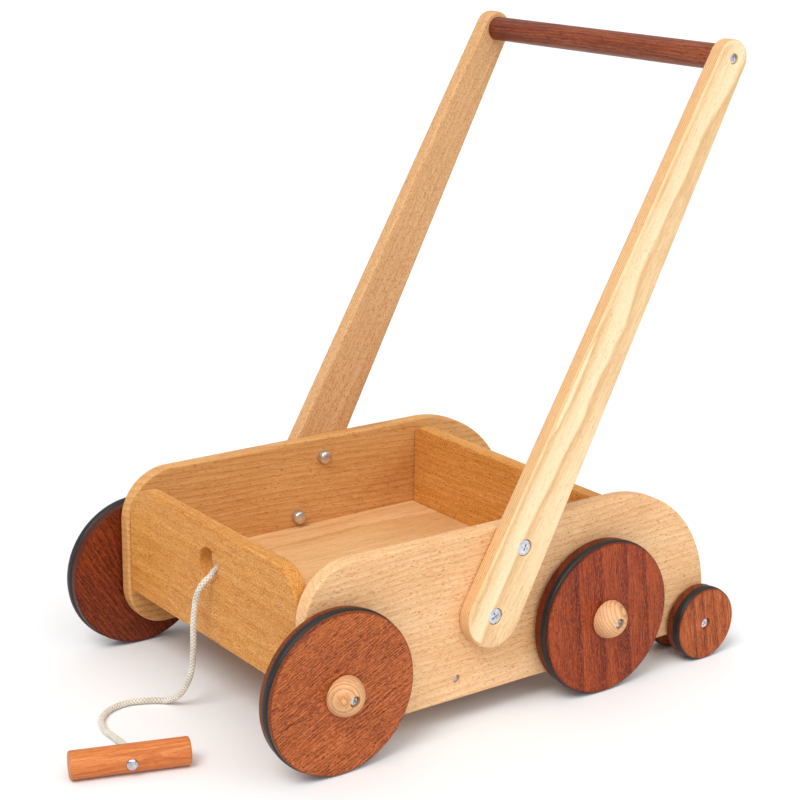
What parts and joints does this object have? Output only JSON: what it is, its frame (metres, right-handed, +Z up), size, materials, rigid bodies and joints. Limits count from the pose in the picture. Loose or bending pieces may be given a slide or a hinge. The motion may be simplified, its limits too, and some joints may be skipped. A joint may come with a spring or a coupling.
{
  "type": "baby walker",
  "caption": "Wooden push-along baby walker: open cargo box on four big and four small wheels, leaning handle with a cross bar, and a front pull cord with a turned grip.",
  "frame": {"origin": "on the floor, under the middle of the walker without its pull cord and grip", "axes": "+X the way it rolls forward (the cord end), +Y its left side, +Z up"},
  "size_m": [0.5457, 0.3306, 0.4915],
  "materials": {
    "beech": "clear satin lacquer on light beech",
    "sapele": "satin lacquer on dark reddish sapele",
    "rubber_ring": "black moulded rubber",
    "zinc_steel": "bright zinc plated steel",
    "polished_steel": "polished nickel plated steel",
    "cotton_cord": "undyed braided cotton",
    "stained_wood": "clear lacquer on orange-red stained dowel"
  },
  "bodies": {
    "frame": {"arm_bolt_left_lower": "zinc_steel", "arm_bolt_left_upper": "zinc_steel", "arm_bolt_right_lower": "zinc_steel", "arm_bolt_right_upper": "zinc_steel", "arm_nut_left_lower": "zinc_steel", "arm_nut_left_upper": "zinc_steel", "arm_nut_right_lower": "zinc_steel", "arm_nut_right_upper": "zinc_steel", "axle_bolt_front_left": "zinc_steel", "axle_bolt_front_right": "zinc_steel", "axle_bolt_rear_left": "zinc_steel", "axle_bolt_rear_right": "zinc_steel", "axle_nut_front_left": "zinc_steel", "axle_nut_front_right": "zinc_steel", "axle_nut_rear_left": "zinc_steel", "axle_nut_rear_right": "zinc_steel", "base_board": "beech", "cord_anchor_screw": "zinc_steel", "cross_rail": "beech", "cross_rail_screw_left": "zinc_steel", "cross_rail_screw_right": "zinc_steel", "front_board": "beech", "grip_rivet": "polished_steel", "handle_arm_left": "beech", "handle_arm_right": "beech", "handle_bar": "sapele", "handle_bar_screw_left": "zinc_steel", "handle_bar_screw_right": "zinc_steel", "hub_cap_front_left": "beech", "hub_cap_front_right": "beech", "hub_cap_rear_left": "beech", "hub_cap_rear_right": "beech", "pull_cord": "cotton_cord", "pull_grip": "stained_wood", "rear_board": "beech", "side_panel_left": "beech", "side_panel_right": "beech", "small_axle_bolt_left": "zinc_steel", "small_axle_bolt_right": "zinc_steel", "small_axle_nut_left": "zinc_steel", "small_axle_nut_right": "zinc_steel"},
    "wheel_front_left": {"wheel_disc_front_left": "sapele", "wheel_tyre_front_left": "rubber_ring"},
    "wheel_front_right": {"wheel_disc_front_right": "sapele", "wheel_tyre_front_right": "rubber_ring"},
    "wheel_rear_left": {"wheel_disc_rear_left": "sapele", "wheel_tyre_rear_left": "rubber_ring"},
    "wheel_rear_right": {"wheel_disc_rear_right": "sapele", "wheel_tyre_rear_right": "rubber_ring"},
    "small_wheel_left_outer": {"small_wheel_disc_left_outer": "sapele", "small_wheel_tyre_left_outer": "rubber_ring"},
    "small_wheel_left_inner": {"small_wheel_disc_left_inner": "sapele", "small_wheel_tyre_left_inner": "rubber_ring"},
    "small_wheel_right_outer": {"small_wheel_disc_right_outer": "sapele", "small_wheel_tyre_right_outer": "rubber_ring"},
    "small_wheel_right_inner": {"small_wheel_disc_right_inner": "sapele", "small_wheel_tyre_right_inner": "rubber_ring"}
  },
  "joints": [
    {"name": "wheel_front_left_spin", "type": "hinge", "parent": "frame", "child": "wheel_front_left", "pos_m": [0.161, 0.1431, 0.061], "axis": [0, 1, 0], "continuous": true},
    {"name": "wheel_front_right_spin", "type": "hinge", "parent": "frame", "child": "wheel_front_right", "pos_m": [0.161, -0.1431, 0.061], "axis": [0, 1, 0], "continuous": true},
    {"name": "wheel_rear_left_spin", "type": "hinge", "parent": "frame", "child": "wheel_rear_left", "pos_m": [-0.083, 0.1431, 0.061], "axis": [0, 1, 0], "continuous": true},
    {"name": "wheel_rear_right_spin", "type": "hinge", "parent": "frame", "child": "wheel_rear_right", "pos_m": [-0.083, -0.1431, 0.061], "axis": [0, 1, 0], "continuous": true},
    {"name": "small_wheel_left_outer_spin", "type": "hinge", "parent": "frame", "child": "small_wheel_left_outer", "pos_m": [-0.192, 0.14155, 0.03], "axis": [0, 1, 0], "continuous": true},
    {"name": "small_wheel_left_inner_spin", "type": "hinge", "parent": "frame", "child": "small_wheel_left_inner", "pos_m": [-0.192, 0.10975, 0.03], "axis": [0, 1, 0], "continuous": true},
    {"name": "small_wheel_right_outer_spin", "type": "hinge", "parent": "frame", "child": "small_wheel_right_outer", "pos_m": [-0.192, -0.14155, 0.03], "axis": [0, 1, 0], "continuous": true},
    {"name": "small_wheel_right_inner_spin", "type": "hinge", "parent": "frame", "child": "small_wheel_right_inner", "pos_m": [-0.192, -0.10975, 0.03], "axis": [0, 1, 0], "continuous": true}
  ]
}
